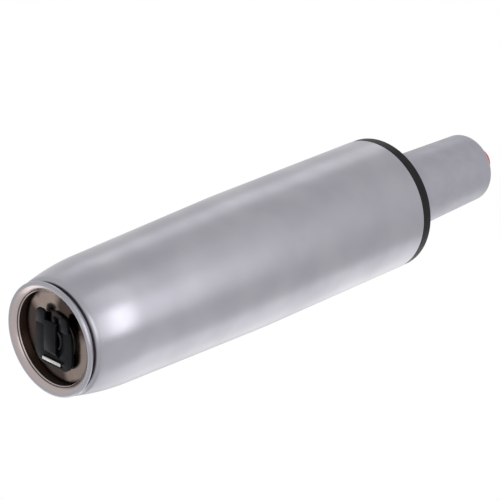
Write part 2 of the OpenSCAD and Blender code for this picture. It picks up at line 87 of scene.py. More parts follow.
class Body(Enum):
    """The bodies of the CAD model that pieces ride on."""

    COLUMN = "column"
    ROD = "rod"
    CYLINDER = "gas_cylinder"
    RELEASE = "release"


class Lines(Enum):
    """Which way fine tool marks run on a turned or drawn piece."""

    NONE = "None"
    ROUND = "Round"
    ALONG = "Along"
    FACE = "Face"


def level(node: str, top: bool = False) -> float:
    """Height in millimetres of a CAD node's lower end, or of its upper end."""
    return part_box(node)[1 if top else 0].z / MM


def foot_radius(node: str) -> float:
    """Radius in millimetres that a CAD node has at its lower end."""
    low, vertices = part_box(node)[0].z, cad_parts[node].data.vertices
    return max(v.co.xy.length for v in vertices if v.co.z < low + NODE_FOOT) / MM


def arc(centre_r: float, centre_z: float, radius: float, start: float, end: float,
        steps: int = 8) -> Outline:
    """Points of an arc between two angles in degrees, where 0 is outwards and 90 upwards."""
    angles = [math.radians(start + (end - start) * i / steps) for i in range(steps + 1)]
    return [(centre_r + radius * math.cos(a), centre_z + radius * math.sin(a)) for a in angles]


def ramp_line(start: Point, end: Point, steps: int) -> Outline:
    """Evenly spaced points on a straight line, both ends included."""
    (r, z), (end_r, end_z) = start, end
    return [(r + (end_r - r) * i / steps, z + (end_z - z) * i / steps) for i in range(steps + 1)]


def settle(mesh: Mesh, crease: float = CREASE) -> None:
    """Merges doubles, turns the faces outwards and marks smooth and sharp edges.

    Args:
        mesh: the mesh to finish.
        crease: edges that turn by more than this many degrees stay sharp.
    """
    bmesh.ops.remove_doubles(mesh, verts=mesh.verts, dist=DOUBLES)
    bmesh.ops.dissolve_degenerate(mesh, dist=SLIVERS, edges=mesh.edges)
    bmesh.ops.recalc_face_normals(mesh, faces=mesh.faces)
    for face in mesh.faces:
        face.smooth = True
    limit = math.radians(crease)
    for edge in mesh.edges:
        edge.smooth = len(edge.link_faces) == 2 and edge.calc_face_angle() < limit


def show(name: str, data: bpy.types.ID) -> bpy.types.Object:
    """Puts a new object into the scene.

    Args:
        name: name of the object.
        data: its mesh, lamp or camera.

    Returns:
        The new object.
    """
    made = bpy.data.objects.new(name, data)
    bpy.context.scene.collection.objects.link(made)
    return made


def show_mesh(name: str, mesh: Mesh) -> bpy.types.Object:
    """Puts a finished mesh into the scene.

    Args:
        name: name of the object.
        mesh: the mesh in metres; it is freed here.

    Returns:
        The new object.
    """
    data = bpy.data.meshes.new(name)
    mesh.to_mesh(data)
    mesh.free()
    return show(name, data)


def piece(mesh: Mesh, name: str, body: Body, nodes: Sequence[str]) -> bpy.types.Object:
    """Makes a mesh a piece of the lift that rides on a body and stands for CAD nodes.

    Args:
        mesh: the finished mesh in metres; it is freed here.
        name: name of the piece.
        body: the CAD body that it rides on.
        nodes: CAD nodes that the piece stands for.

    Returns:
        The new object.
    """
    made = show_mesh(name, mesh)
    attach(made, body.value)
    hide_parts(*nodes)
    LOG.info("piece %s: %d faces, rides on %s", name, len(made.data.polygons), body.value)
    return made


def turned(outline: Outline, segments: int = 192, closed: bool = True) -> Mesh:
    """Spins an outline in the half plane once round the lift axis.

    Args:
        outline: points as (radius, height) in millimetres.
        segments: steps round the axis.
        closed: True if the last point joins the first one.

    Returns:
        The turned mesh in metres.
    """
    mesh = bmesh.new()
    points = [mesh.verts.new((r * MM, 0, z * MM)) for r, z in outline]
    edges = [mesh.edges.new(pair) for pair in zip(points, points[1:])]
    if closed:
        edges.append(mesh.edges.new((points[-1], points[0])))
    bmesh.ops.spin(mesh, geom=points + edges, cent=(0, 0, 0), axis=(0, 0, 1), dvec=(0, 0, 0),
                   angle=TURN, steps=segments, use_merge=True, use_duplicate=False)
    settle(mesh)
    return mesh


def round_edges(mesh: Mesh, radius: float) -> None:
    """Rounds every clearly bent edge of a mesh.

    Args:
        mesh: the mesh, changed in place.
        radius: how far from the edge the rounding starts, in millimetres.
    """
    limit = math.radians(BEVELLED_FROM)
    sharp = [e for e in mesh.edges if len(e.link_faces) == 2 and e.calc_face_angle() > limit]
    bmesh.ops.bevel(mesh, geom=sharp, offset=radius * MM, offset_type="OFFSET", segments=2,
                    profile=0.5, affect="EDGES", clamp_overlap=True, material=-1)


def turn_about_axis(mesh: Mesh, angle: float) -> None:
    """Turns a mesh about the lift axis by an angle in radians."""
    bmesh.ops.rotate(mesh, verts=mesh.verts, cent=(0, 0, 0), matrix=Matrix.Rotation(angle, 3, "Z"))


def thicken(mesh: Mesh, along: Point) -> Mesh:
    """Extrudes a flat mesh into a closed block.

    Args:
        mesh: the mesh, all of whose faces are extruded.
        along: how far along y and z, in metres.

    Returns:
        The same mesh, closed.
    """
    grown = bmesh.ops.extrude_face_region(mesh, geom=mesh.faces[:])
    moved = [v for v in grown["geom"] if isinstance(v, bmesh.types.BMVert)]
    bmesh.ops.translate(mesh, verts=moved, vec=(0, *along))
    bmesh.ops.recalc_face_normals(mesh, faces=mesh.faces)
    return mesh


def stamped(outlines: Sequence[Outline], low: float, high: float) -> Mesh:
    """Cuts a flat sheet along outlines and gives it its thickness.

    Args:
        outlines: the outer outline as (x, y), then any holes.
        low: height of the lower face.
        high: height of the upper face.

    Returns:
        The closed mesh in metres.
    """
    mesh = bmesh.new()
    edges: list[bmesh.types.BMEdge] = []
    for outline in outlines:
        points = [mesh.verts.new((x * MM, y * MM, low * MM)) for x, y in outline]
        edges += [mesh.edges.new((points[i - 1], points[i])) for i in range(len(points))]
    bmesh.ops.triangle_fill(mesh, use_beauty=True, use_dissolve=False, edges=edges,
                            normal=(0, 0, 1))
    return thicken(mesh, (0, (high - low) * MM))


def strip(side: Outline, width: float) -> Mesh:
    """A strip of bent sheet.

    Args:
        side: its side view as (x, z).
        width: its width along y.

    Returns:
        The closed mesh in metres.
    """
    mesh = bmesh.new()
    mesh.faces.new([mesh.verts.new((x * MM, -width / 2 * MM, z * MM)) for x, z in side])
    return thicken(mesh, (width * MM, 0))


def join(parts: Sequence[Mesh]) -> Mesh:
    """Puts several meshes into one and frees the others.

    Args:
        parts: the meshes, each closed on its own.

    Returns:
        One mesh that holds them all.
    """
    whole = bmesh.new()
    for part in parts:
        carrier = bpy.data.meshes.new("part")
        part.to_mesh(carrier)
        part.free()
        whole.from_mesh(carrier)
        bpy.data.meshes.remove(carrier)
    return whole


class Board:
    """Lays out and links the nodes of one material or node group."""

    def __init__(self, tree: bpy.types.NodeTree) -> None:
        """Starts with a node tree, which is emptied."""
        self.tree = tree
        self.tree.nodes.clear()

    def add(self, kind: str, values: Optional[dict] = None, **settings: object) -> Node:
        """Adds a node.

        Args:
            kind: Blender's name of the node type, without its ShaderNode prefix.
            values: values for its inputs, by name or index; a socket is linked, any other set.
            settings: properties of the node itself.

        Returns:
            The new node.
        """
        row, column = divmod(len(self.tree.nodes), NODES_IN_ROW)
        name = kind if kind.startswith("NodeGroup") else "ShaderNode" + kind
        node = self.tree.nodes.new(name)
        node.location = (column * NODE_SPACING[0], -row * NODE_SPACING[1])
        for key, value in settings.items():
            setattr(node, key, value)
        for key, value in (values or {}).items():
            socket = node.inputs[key]
            if isinstance(value, Socket):
                self.tree.links.new(value, socket)
            else:
                socket.default_value = value
        return node

    def math(self, operation: str, *terms: object, clamp: bool = False) -> Socket:
        """A Math node's result, from numbers or sockets."""
        node = self.add("Math", dict(enumerate(terms)), operation=operation, use_clamp=clamp)
        return node.outputs[0]

    def product(self, first: Socket, *others: object) -> Socket:
        """Multiplies a socket with others.

        Args:
            first: the first factor.
            others: the further factors, numbers or sockets, taken one after the other.

        Returns:
            The product.
        """
        for other in others:
            first = self.math("MULTIPLY", first, other)
        return first

    def vector(self, operation: str, *terms: object) -> Socket:
        """A Vector Math node's result, which is a number for a length or a dot product."""
        node = self.add("VectorMath", dict(enumerate(terms)), operation=operation)
        return node.outputs["Value" if operation in ("LENGTH", "DOT_PRODUCT") else "Vector"]

    def mix(self, factor: object, one: object, two: object) -> Socket:
        """A blend of two colours, each a socket or an RGB triple."""
        one, two = ((*c, 1.0) if isinstance(c, tuple) else c for c in (one, two))
        return self.add("Mix", {0: factor, 6: one, 7: two}, data_type="RGBA").outputs[2]

    def spread(self, value: object, low: float, high: float, to_low: float = 0.0,
               to_high: float = 1.0, soft: bool = False) -> Socket:
        """Maps a value from one range to another, clamped at its ends, softly if asked for."""
        return self.add("MapRange", {0: value, 1: low, 2: high, 3: to_low, 4: to_high},
                        interpolation_type="SMOOTHSTEP" if soft else "LINEAR").outputs[0]

    def mask(self, value: Socket, edge: float, fade: float, soft: bool = False) -> Socket:
        """Mask of what lies up to an edge in millimetres, or past it if the fade is negative."""
        return self.spread(value, (edge + fade) * MM, edge * MM, soft=soft)

    def noise(self, place: object, scale: object, detail: float = 2.0,
              rough: float = 0.5) -> Socket:
        """A noise value at a place in the piece."""
        return self.add("TexNoise", {"Vector": place, "Scale": scale, "Detail": detail,
                                     "Roughness": rough}).outputs[0]

    def swing(self, noise: Socket, amount: float) -> Socket:
        """A noise value's swing by an amount to either side of 0."""
        return self.spread(noise, *NOISE_RANGE, -amount, amount)

    def place(self) -> Socket:
        """The place in the piece, in metres."""
        return self.add("TexCoord").outputs["Object"]

    def polar(self) -> tuple[Socket, Socket, Socket]:
        """The place in the piece, seen from the lift axis.

        Returns:
            Distance from the axis, angle round it, and height, in metres and radians.
        """
        x, y, z = self.add("SeparateXYZ", {0: self.place()}).outputs
        squares = self.math("ADD", self.product(x, x), self.product(y, y))
        return self.math("SQRT", squares), self.math("ARCTAN2", y, x), z


@dataclass(frozen=True)
class Effect:
    """A node group that several finishes share, built once.

    Attributes:
        name: name of the group.
        inputs: its input values with their defaults.
        fill: lays out the nodes and returns the sockets for the outputs by name.
    """

    name: str
    inputs: dict[str, float]
    fill: Callable[[Board, Node], dict[str, Socket]]

    def tree(self) -> bpy.types.NodeTree:
        """The node group, built if it isn't there.

        Returns:
            The node group.
        """
        if self.name in bpy.data.node_groups:
            return bpy.data.node_groups[self.name]
        tree, number = bpy.data.node_groups.new(self.name, "ShaderNodeTree"), "NodeSocketFloat"
        for key, value in self.inputs.items():
            socket = tree.interface.new_socket(key, in_out="INPUT", socket_type=number)
            socket.default_value = value
        board = Board(tree)
        results = self.fill(board, board.add("NodeGroupInput"))
        for key in results:
            tree.interface.new_socket(key, in_out="OUTPUT", socket_type=number)
        board.add("NodeGroupOutput", results)
        return tree

    def on(self, board: Board, **values: float) -> Node:
        """Places the group among the nodes of a material, with values for its inputs."""
        return board.add("Group", values, node_tree=self.tree())


def rubbed(board: Board, start: Node) -> dict[str, Socket]:
    """Mask of edges, where a rounded normal leaves the true one, broken up by noise.

    Args:
        board: the nodes of the group.
        start: its input node.

    Returns:
        The sockets for its outputs by name.
    """
    soft = board.add("Bevel", {"Radius": start.outputs["Width"]}, samples=4).outputs[0]
    true = board.add("NewGeometry").outputs["Normal"]
    dot = board.vector("DOT_PRODUCT", soft, true)
    patchy = board.noise(board.place(), start.outputs["Scale"], detail=3.0)
    both = board.product(board.spread(dot, *WEAR_DOTS), board.spread(patchy, *WEAR_PATCHES))
    return {"Mask": board.math("MULTIPLY", both, start.outputs["Amount"], clamp=True)}


def grained(board: Board, start: Node) -> dict[str, Socket]:
    """Grain of a moulded, cast or plated surface as a height, with its slow drift.

    Args:
        board: the nodes of the group.
        start: its input node.

    Returns:
        The sockets for its outputs by name.
    """
    place = board.place()
    slow = board.noise(place, start.outputs["Slow"])
    fine = board.noise(place, start.outputs["Fine"], detail=3.0)
    return {"Height": board.math("MULTIPLY_ADD", slow, SLOW_SHARE, fine),
            "Drift": board.spread(slow, *DRIFT_RANGE, soft=True)}


def tooled(board: Board, start: Node) -> dict[str, Socket]:
    """Lines left by turning or drawing, from noise stretched in each direction.

    Args:
        board: the nodes of the group.
        start: its input node.

    Returns:
        The sockets for its outputs by name.
    """
    reach, angle, z = board.polar()
    # Name, then what changes fast across the lines and slowly along them, and by how much
    rows = ((Lines.ROUND, z, 1.0, angle, 0.002), (Lines.ALONG, angle, 0.012, z, 0.05),
            (Lines.FACE, reach, 1.0, angle, 0.002))
    results = {}
    for lines, fast, quick, slow, lazy in rows:
        across = board.product(fast, quick, start.outputs["Scale"])
        along = board.product(slow, lazy, start.outputs["Scale"])
        vector = board.add("CombineXYZ", {0: across, 1: along}).outputs[0]
        results[lines.value] = board.noise(vector, 1.0, detail=3.0, rough=0.6)
    return results


EDGE_WEAR = Effect("edge_wear", {"Width": 0.0004, "Scale": 900.0, "Amount": 1.0}, rubbed)
FINE_GRAIN = Effect("fine_grain", {"Fine": 6000.0, "Slow": 260.0}, grained)
TOOL_LINES = Effect("tool_lines", {"Scale": 5000.0}, tooled)


@dataclass(frozen=True)
class Finish:
    """A surface finish that dresses pieces and CAD nodes.

    Attributes:
        name: name of the material.
        base: main colour, linear.
        worn: colour of rubbed edges.
        drift: colour that the main one drifts to in slow patches.
        metallic: 1 for metal, 0 for plastic and rubber.
        roughness: mean roughness.
        rough_drift: how much the roughness changes over the surface.
        fine: scale of the fine grain, per metre.
        slow: scale of the slow patches, per metre.
        bump: depth of the grain in metres.
        lines: which way tool marks run.
        line_scale: how fine they are.
        line_bump: their depth in metres.
        line_rough: how much they change the roughness.
        wear_width: width of worn edges in metres.
        wear: how much the edges are worn.
        specular: specular level of plastics.
    """

    name: str
    base: Colour
    worn: Colour
    drift: Colour
    metallic: float = 0.0
    roughness: float = 0.4
    rough_drift: float = 0.06
    fine: float = 6000.0
    slow: float = 260.0
    bump: float = 0.000004
    lines: Lines = Lines.NONE
    line_scale: float = 5000.0
    line_bump: float = 0.000002
    line_rough: float = 0.03
    wear_width: float = 0.0004
    wear: float = 0.5
    specular: float = 0.5

    def material(self) -> bpy.types.Material:
        """The finish as a material, built once.

        Returns:
            The material.
        """
        title = "finish_" + self.name
        if title in bpy.data.materials:
            return bpy.data.materials[title]
        made = bpy.data.materials.new(title)
        made.use_nodes = True
        board = Board(made.node_tree)
        grain = FINE_GRAIN.on(board, Fine=self.fine, Slow=self.slow).outputs
        wear = EDGE_WEAR.on(board, Width=self.wear_width, Amount=self.wear).outputs["Mask"]
        colour = self.tint(board, board.mix(grain["Drift"], self.base, self.drift))
        rough = board.spread(grain["Drift"], 0.0, 1.0, self.roughness - self.rough_drift,
                             self.roughness + self.rough_drift)
        normal = board.add("Bump", {"Height": grain["Height"], "Strength": 1.0,
                                    "Distance": self.bump}).outputs[0]
        if self.lines is not Lines.NONE:
            ridge = TOOL_LINES.on(board, Scale=self.line_scale).outputs[self.lines.value]
            normal = board.add("Bump", {"Height": ridge, "Strength": 1.0, "Normal": normal,
                                        "Distance": self.line_bump}).outputs[0]
            rough = board.math("ADD", rough, board.swing(ridge, self.line_rough))
        shader = board.add("BsdfPrincipled", {
            "Base Color": board.mix(wear, colour, self.worn), "Roughness": rough, "Normal": normal,
            "Metallic": self.metal(board), "Specular IOR Level": self.specular})
        board.add("OutputMaterial", {0: shader.outputs[0]})
        return made

    def tint(self, board: Board, colour: Socket) -> Socket:
        """A place where a finish adds its own colouring; the plain finish adds none."""
        return colour

    def metal(self, board: Board) -> object:
        """How metallic the surface is, the same all over on a plain finish."""
        return self.metallic

    def dress(self, *things: bpy.types.Object) -> None:
        """Puts the finish on every material slot.

        Args:
            things: the objects to dress.
        """
        for thing in things:
            if not thing.data.materials:
                thing.data.materials.append(self.material())
            for slot in thing.material_slots:
                slot.material = self.material()

    def dress_nodes(self, *names: str) -> None:
        """Puts the finish on CAD nodes."""
        self.dress(*(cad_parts[name] for name in names))


@dataclass(frozen=True)
class ColumnFinish(Finish):
    """Satin plate on the column with painted light: a reflection of the brown plate on the lip's
    inner slope, and shade in its bore and in the fine groove on the slope.

    Attributes:
        plate_reflection: colour of the painted reflection of the brown plate on the inner slope.
        bore_shade: colour of the painted shade in the bore.
        bare_and_groove_shade: colour of the painted shadow in the fine groove on the slope.
        slope: outer radius of the slope and its upper end.
        slope_fade: how far the slope's colour runs out past them.
        bore: radius of the bore and its lower end.
        bore_fade: how far the bore's colour runs out past them.
        groove: inner and outer radius of the groove and its upper end.
        groove_fade: how far the groove's colour runs out past its radii and its upper end.
    """

    # Painted light: a reflection of the brown plate on the slope, shade in the bore and the groove
    plate_reflection: Colour = (0.405, 0.35, 0.34)
    bore_shade: Colour = (0.20, 0.15, 0.12)
    bare_and_groove_shade: Colour = (0.05, 0.036, 0.031)
    slope: Point = (18.6, 2.2)
    slope_fade: Point = (0.6, 0.4)
    bore: Point = (17.5, 2.5)
    bore_fade: Point = (0.3, 0.2)
    groove: tuple[float, float, float] = (16.95, 17.2, 1.8)
    groove_fade: Point = (0.06, 0.1)

    def tint(self, board: Board, colour: Socket) -> Socket:
        """Paints a reflection of the brown plate on the slope, then shade in the bore and the
        groove.

        Args:
            board: the nodes of the material.
            colour: the colour so far.

        Returns:
            The colour with the finish's own added.
        """
        reach, _, z = board.polar()
        slope = board.product(board.mask(reach, self.slope[0], self.slope_fade[0], True),
                              board.mask(z, self.slope[1], self.slope_fade[1]))
        bore = board.product(board.mask(reach, self.bore[0], self.bore_fade[0]),
                             board.mask(z, self.bore[1], -self.bore_fade[1]))
        (inner, outer, top), (aside, above) = self.groove, self.groove_fade
        groove = board.product(board.mask(reach, inner, -aside), board.mask(reach, outer, aside),
                               board.mask(z, top, above))
        # Painted reflection on the slope, painted shade in the bore, painted shadow in the groove
        for place, shade in ((slope, self.plate_reflection), (bore, self.bore_shade), (groove, self.bare_and_groove_shade)):
            colour = board.mix(place, colour, shade)
        return colour


@dataclass(frozen=True)
class PlateFinish(Finish):
    """Brown passivated plate with painted shade along its rim and two bright fans of painted
    reflection across its turned face, with darker painted reflection between them.

    Attributes:
        rim_and_fan_shade: colour of the painted shade along the rim and between the fans.
        rim_shade_from: radius in metres where the painted shade along the rim starts.
        rim_shade_to: radius in metres where it is full.
        fans: direction and half width in degrees of each painted bright fan, and how clear it is.
        fan_edge: half width in degrees of a fan's soft edge.
        waver: how far the painted rim shade's edge wavers, in metres, and how far a fan's edge
            does.
        waver_scale: scale of the wavering, per metre.
    """

    # Painted light: shade along the rim, and bright fans of reflection with darker ground between
    # them
    rim_and_fan_shade: Colour = (0.05, 0.035, 0.03)
    rim_shade_from: float = 0.0146
    rim_shade_to: float = 0.0168
    fans: tuple[tuple[float, float, float], ...] = ((187.0, 26.0, 1.0), (-28.0, 44.0, 0.75))
    fan_edge: float = 8.0
    waver: Point = (0.0006, 0.02)
    waver_scale: float = 260.0

    def tint(self, board: Board, colour: Socket) -> Socket:
        """Paints shade along the plate's rim and between the bright fans of painted reflection.

        Args:
            board: the nodes of the material.
            colour: the colour so far.

        Returns:
            The colour with the finish's own added.
        """
        flat = board.vector("MULTIPLY", board.place(), (1.0, 1.0, 0.0))
        reach, heading = board.vector("LENGTH", flat), board.vector("NORMALIZE", flat)
        waver = board.noise(board.place(), self.waver_scale, detail=3.0)
        rim = board.spread(board.math("ADD", reach, board.swing(waver, self.waver[0])),
                           self.rim_shade_from, self.rim_shade_to, soft=True)
        # Bright fans of painted reflection; outside them the plate takes the painted shade colour
        bright = 0.0
        for direction, half, clear in self.fans:
            angle = math.radians(direction)
            middle = (math.cos(angle), math.sin(angle), 0.0)
            near = board.math("ADD", board.vector("DOT_PRODUCT", heading, middle),
                              board.swing(waver, self.waver[1]))
            inner, outer = (math.cos(math.radians(half + side * self.fan_edge)) for side in (-1, 1))
            fan = board.spread(near, outer, inner, 0.0, clear, True)
            bright = board.math("MAXIMUM", bright, fan)
        return board.mix(board.math("MAXIMUM", rim, board.math("SUBTRACT", 1.0, bright)),
                         colour, self.rim_and_fan_shade)


@dataclass(frozen=True)
class RodFinish(Finish):
    """Ground rod whose end under the clip is coloured black.

    Attributes:
        black: colour of the end.
        black_to: height up to which it is black, and how far it runs out above.
    """

    black: Colour = (0.02, 0.02, 0.021)
    black_to: Point = (4.2, 0.1)

    def tint(self, board: Board, colour: Socket) -> Socket:
        """Blackens the rod's lower end."""
        return board.mix(board.mask(board.polar()[2], *self.black_to), colour, self.black)


@dataclass(frozen=True)
class SpringFinish(Finish):
    """Blackened spring steel whose sheared faces are bare.

    Attributes:
        bare_and_groove_shade: colour of the bare steel.
        shade: how dark the marks on it are.
        mark_turn: the way that they run, in degrees.
        mark_scale: how fine they are across and along, per metre.
        mark_range: noise values between which they show.
    """

    bare_and_groove_shade: Colour = (0.60, 0.59, 0.56)
    shade: float = 0.6
    mark_turn: float = -34.0
    mark_scale: tuple[float, float, float] = (9000.0, 700.0, 1.0)
    mark_range: Point = (0.35, 0.65)

    def metal(self, board: Board) -> Socket:
        """Only the sheared faces show metal."""
        return board.add("Attribute", attribute_name="bare_and_groove_shade").outputs["Fac"]

    def tint(self, board: Board, colour: Socket) -> Socket:
        """Adds the sheared faces with fine marks along them.

        Args:
            board: the nodes of the material.
            colour: the colour so far.

        Returns:
            The colour with the finish's own added.
        """
        place = board.add("Mapping", {"Vector": board.place(), "Scale": self.mark_scale,
                                      "Rotation": (0, 0, math.radians(self.mark_turn))}).outputs[0]
        marks = board.spread(board.noise(place, 1.0), *self.mark_range)
        shaded = tuple(c * self.shade for c in self.bare_and_groove_shade)
        return board.mix(self.metal(board), colour, board.mix(marks, self.bare_and_groove_shade, shaded))


SATIN_CHROME = ColumnFinish(
    "satin_chrome", (0.342, 0.337, 0.371), (0.42, 0.42, 0.44), (0.300, 0.295, 0.330), 1.0, 0.30,
    0.02, fine=3500.0, slow=55.0, bump=0.0000006, wear_width=0.0003, wear=0.25)
BROWN_PLATE = PlateFinish(
    "brown_plate", (0.30, 0.24, 0.215), (0.40, 0.33, 0.30), (0.26, 0.205, 0.18), 1.0, 0.20, 0.03,
    fine=2500.0, slow=180.0, bump=0.000001, lines=Lines.FACE, line_bump=0.0000008, wear=0.3)
# Rod washer: its dark colour is painted shade under the clip, and its bright worn colour on the
# rolled edges paints highlight arcs
WASHER_SHADE_AND_GLINT = Finish(
    "washer_shade_and_glint", (0.034, 0.031, 0.028), (0.55, 0.54, 0.52), (0.022, 0.020, 0.018), 1.0, 0.20,
    0.03, fine=4000.0, slow=500.0, lines=Lines.FACE, wear_width=0.0003, wear=0.9)
WASHER_STEEL = Finish(
    "washer_steel", (0.34, 0.33, 0.32), (0.55, 0.54, 0.53), (0.27, 0.26, 0.25), 1.0, 0.38, 0.05,
    fine=4000.0, slow=500.0, lines=Lines.FACE, wear=0.6)
SPRING_STEEL = SpringFinish(
    "spring_steel", (0.0068, 0.0074, 0.0096), (0.07, 0.07, 0.07), (0.0045, 0.005, 0.0068), 0.0,
    0.34, 0.07, fine=5000.0, slow=700.0, wear_width=0.0003, wear=0.35, specular=0.09)
GUIDE_PLASTIC = Finish(
    "guide_plastic", (0.008, 0.008, 0.009), (0.022, 0.022, 0.024), (0.006, 0.006, 0.007), 0.0,
    0.46, 0.05, fine=7000.0, slow=300.0, bump=0.000006, wear=0.3, specular=0.12)
GREY_COAT = Finish(
    "grey_tube", (0.32, 0.317, 0.357), (0.45, 0.45, 0.47), (0.295, 0.292, 0.332), 0.7, 0.4, 0.03,
    fine=8000.0, slow=160.0, bump=0.000003, wear=0.2)
RED_PLASTIC = Finish(
    "button_plastic", (0.60, 0.035, 0.045), (0.75, 0.2, 0.2), (0.52, 0.028, 0.04), 0.0, 0.3, 0.05,
    fine=5000.0, slow=500.0, wear=0.3)
BEARING_STEEL = Finish(
    "bearing_steel", (0.58, 0.59, 0.61), (0.7, 0.7, 0.72), (0.52, 0.53, 0.55), 1.0, 0.16, 0.03,
    lines=Lines.FACE, wear=0.3)
ROD_STEEL = RodFinish(
    "rod_steel", (0.55, 0.56, 0.58), (0.3, 0.3, 0.31), (0.5, 0.51, 0.53), 1.0, 0.18, 0.03,
    lines=Lines.ROUND, wear=0.0)
DRAWN_STEEL = Finish(
    "inner_steel", (0.5, 0.51, 0.53), (0.62, 0.62, 0.64), (0.44, 0.45, 0.47), 1.0, 0.36, 0.04,
    lines=Lines.ALONG, wear=0.3)
NATURAL_PLASTIC = Finish(
    "cage_plastic", (0.74, 0.71, 0.60), (0.85, 0.83, 0.75), (0.66, 0.62, 0.50), 0.0, 0.42, 0.05,
    fine=5000.0, slow=600.0, bump=0.000005, wear=0.3)
BLACK_RUBBER = Finish(
    "seal_rubber", (0.022, 0.022, 0.023), (0.07, 0.07, 0.07), (0.03, 0.03, 0.031), 0.0, 0.58, 0.08,
    fine=4000.0, slow=700.0, bump=0.000010, wear=0.4, specular=0.4)
TURNED_ALLOY = Finish(
    "piston_alloy", (0.66, 0.67, 0.68), (0.8, 0.8, 0.8), (0.58, 0.59, 0.6), 1.0, 0.36, 0.04,
    lines=Lines.ROUND, line_bump=0.000004, wear=0.4)
TURNED_BRASS = Finish(
    "valve_brass", (0.70, 0.52, 0.22), (0.85, 0.7, 0.4), (0.6, 0.42, 0.16), 1.0, 0.20, 0.03,
    lines=Lines.ROUND, line_bump=0.000003, wear=0.4)


@dataclass
class Column:
    """The steel column with its base plate and plastic guide.

    Sizes of the lip and the flange follow the photograph where it shows more than the CAD model
    does. A pair is a length outwards and one upwards.
    """

    outer_d: float = 50.0
    length: float = 165.0
    wall: float = 2.0
    taper_length: float = 90.0
    taper_ratio: float = 20.0
    taper_knee: float = 2.0
    straight_ring: float = 130.0
    bead_radius: float = 0.9
    bead_step: float = 2.4
    bead_flat: float = 0.1
    lip_reach: float = 2.85
    lip_edge_height: float = 1.75
    lip_edge_round: float = 0.3
    lip_undercut: float = 0.7
    lip_fillet: float = 0.25
    lip_fillet_middle: float = 0.12
    line_from: float = 0.22
    line_to: float = 0.6
    line_side: float = 0.08
    line_depth: float = 0.2
    swelling: float = 0.12
    groove_depth: float = 1.75
    groove_width: float = 1.25
    groove_fillet: tuple[Point, Point] = ((0.0, -0.12), (0.04, -0.03))
    seat_r: float = 18.25
    seat_rise: float = 1.0
    corner_radius: float = 1.9
    end_curve_radius: float = 94.0
    end_curve_top: float = 23.0
    cone_foot: float = 26.0
    top_round: float = 0.4
    top_round_from: float = 0.45
    rebate_gap: float = 0.2
    plate_hole_gap: float = 0.3
    plate_edge_low: float = 0.2
    plate_edge_high: float = 0.6
    pocket_gap: float = 0.03
    tube_d: float = 28.0
    running_gap: float = 0.05
    sleeve_wall: float = 2.4
    sleeve_lead: float = 0.4
    shell_wall: float = 1.8
    shell_lead: Point = (0.5, 0.8)
    shell_gap: float = 0.03
    web_drop: float = 0.01
    bushing_length: float = 58.0
    flange: float = 3.0
    flange_round: float = 0.9
    skirt: float = 1.3
    skirt_wall: float = 0.8
    skirt_gap: float = 0.05
    skirt_chamfer: float = 0.1
    flange_set_in: float = 0.1
    wiper: float = 0.8
    wiper_edge: float = 0.2
    ribs: int = 10
    rib: float = 1.6
    rib_bite: float = 0.5
    rib_drop: float = 0.4
    rib_shorter: float = 0.8
    rib_round: float = 0.15

    def taper_r(self, z: float) -> float:
        """Outer radius of the straight taper at a height."""
        return self.outer_d / 2 - max(0.0, self.taper_length - z) / (2 * self.taper_ratio)

    def end_centre(self) -> Point:
        """Centre of the curve that draws in the lower end.

        Returns:
            The centre as (radius, height).
        """
        lean = math.atan(1 / (2 * self.taper_ratio))
        return (self.taper_r(self.end_curve_top) - self.end_curve_radius * math.cos(lean),
                self.end_curve_top + self.end_curve_radius * math.sin(lean))

    def curve_r(self, z: float) -> float:
        """Outer radius at a height on the curve that draws in the lower end."""
        centre_r, centre_z = self.end_centre()
        return centre_r + math.sqrt(self.end_curve_radius ** 2 - (z - centre_z) ** 2)

    def lip_outline(self) -> Outline:
        """Outline of the lip as (radius, height).

        Returns:
            The points from the plate's seat round the lip's inner edge and the bead to the groove.
        """
        bead_r = self.taper_r(0) - self.bead_step - self.bead_radius
        bead_z = self.bead_radius - self.bead_flat
        inner = bead_r - self.lip_reach
        wall, edge_r = inner + self.lip_undercut, inner + self.lip_edge_round
        edge_z = self.lip_edge_height + self.lip_edge_round
        lean = math.degrees(math.atan2(edge_z - bead_z, edge_r - bead_r))
        reach = math.hypot(edge_r - bead_r, edge_z - bead_z)
        half = math.degrees(math.acos((self.bead_radius - self.lip_edge_round) / reach))
        neck = bead_r + self.bead_radius - self.groove_depth
        end = 360 + math.degrees(math.acos((neck - bead_r) / self.bead_radius))
        bead = arc(bead_r, bead_z, self.bead_radius, lean + half, end, 40)
        edge = arc(edge_r, edge_z, self.lip_edge_round, lean - half, lean + half)
        slope = self.slope_outline(edge[-1], bead[0], math.radians(lean + half))
        low, middle = edge[0][1], self.lip_fillet_middle
        undercut = [(wall, level("base_plate")), (wall, low + self.lip_fillet),
                    (wall - middle, low + middle)]
        return undercut + edge + slope + [(r, max(0.0, z)) for r, z in bead]

    def slope_outline(self, start: Point, end: Point, facing: float) -> Outline:
        """The lip's inner slope between its edge and the bead: a fine groove, then a swelling.

        Args:
            start: where the edge ends, as (radius, height).
            end: where the bead begins.
            facing: direction that the slope faces, in radians from outwards to upwards.

        Returns:
            The points between the two.
        """
        out_r, out_z = math.cos(facing), math.sin(facing)
        length = math.hypot(end[0] - start[0], end[1] - start[1])
        along_r, along_z = (end[0] - start[0]) / length, (end[1] - start[1]) / length
        bent = [(self.line_from, 0.0), (self.line_from + self.line_side, -self.line_depth),
                (self.line_to - self.line_side, -self.line_depth), (self.line_to, 0.0)]
        steps = 10
        for share in (step / steps for step in range(1, steps)):
            bent.append((self.line_to + (length - self.line_to) * share,
                         self.swelling * math.sin(math.pi * share)))
        return [(start[0] + along_r * s + out_r * h, start[1] + along_z * s + out_z * h)
                for s, h in bent]

